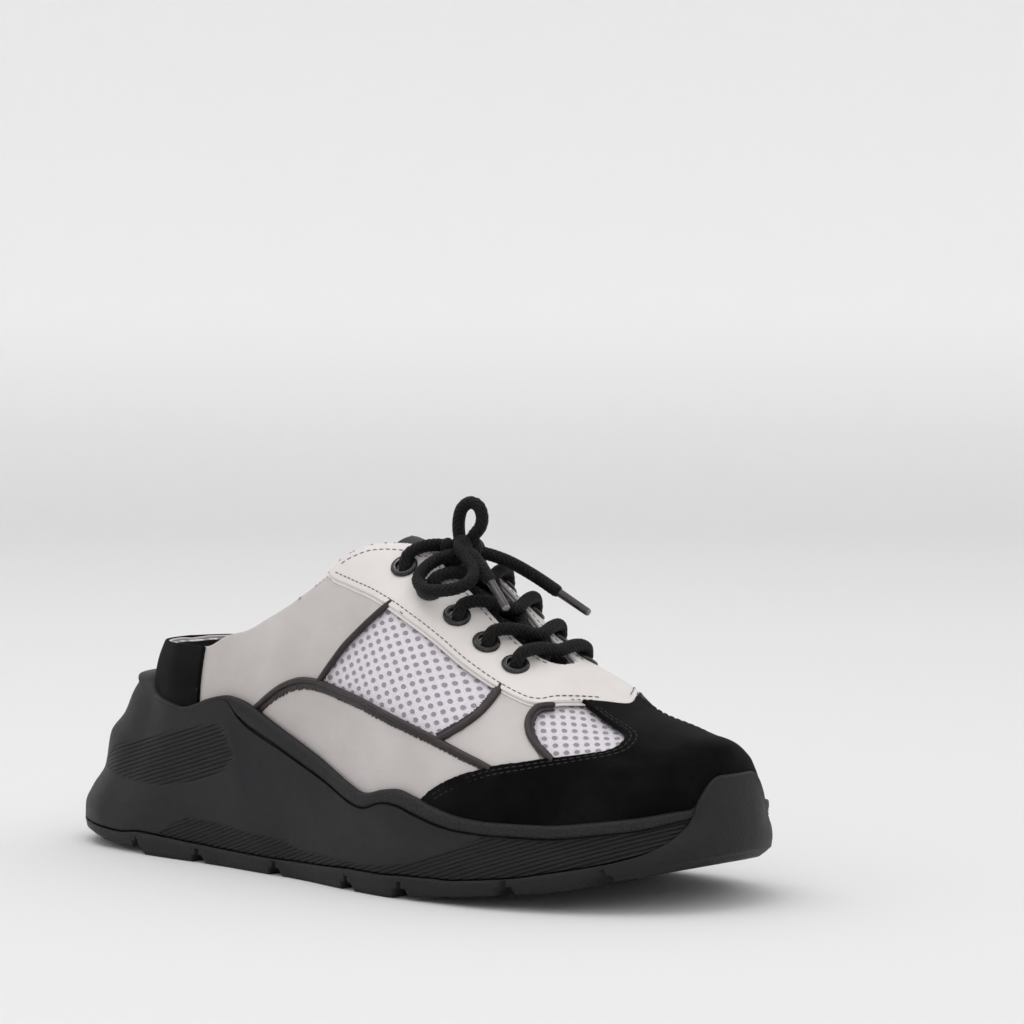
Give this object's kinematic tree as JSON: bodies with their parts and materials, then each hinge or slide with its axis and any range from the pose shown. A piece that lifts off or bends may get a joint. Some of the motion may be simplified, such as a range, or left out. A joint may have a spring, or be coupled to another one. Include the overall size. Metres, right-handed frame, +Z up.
{
  "type": "sneaker mule",
  "caption": "Open-backed lace-up sneaker with a leather and mesh upper, suede toe and heel, and a thick wavy rubber sole.",
  "frame": {"origin": "centre of the sole's box, on the ground", "axes": "+X to the toe, +Z up, +Y to the inner side of the foot"},
  "size_m": [0.285, 0.1078, 0.1267],
  "materials": {
    "sole_rubber": "matt moulded, charcoal",
    "grey_leather": "smooth fine grain, warm grey, with pale mesh panels",
    "pale_leather": "smooth, off-white",
    "black_suede": "napped, black",
    "black_lining": "matt, black",
    "piping": "satin, dark brown-black",
    "black_metal": "gloss, black",
    "lace_cord": "round braid, black",
    "aglet_plastic": "gloss, dark"
  },
  "bodies": {
    "root": {"outsole": "sole_rubber", "midsole": "sole_rubber", "insole": "black_lining", "upper": "grey_leather", "heel_counter": "black_suede", "eyestay": "pale_leather", "toe_cap": "black_suede", "tongue": "black_lining", "piping_band_outer": "piping", "piping_arch_outer": "piping", "piping_vamp_outer": "piping", "piping_window_outer": "piping", "piping_band_inner": "piping", "piping_arch_inner": "piping", "piping_vamp_inner": "piping", "piping_window_inner": "piping", "eyelet_outer_1": "black_metal", "eyelet_outer_2": "black_metal", "eyelet_outer_3": "black_metal", "eyelet_outer_4": "black_metal", "eyelet_outer_5": "black_metal", "eyelet_inner_1": "black_metal", "eyelet_inner_2": "black_metal", "eyelet_inner_3": "black_metal", "eyelet_inner_4": "black_metal", "eyelet_inner_5": "black_metal", "lace_bars": "lace_cord", "lace_knot": "lace_cord", "lace_loop_up": "lace_cord", "lace_loop_side": "lace_cord", "lace_end_near": "lace_cord", "lace_end_far": "lace_cord", "aglet_near": "aglet_plastic", "aglet_far": "aglet_plastic"}
  },
  "joints": []
}
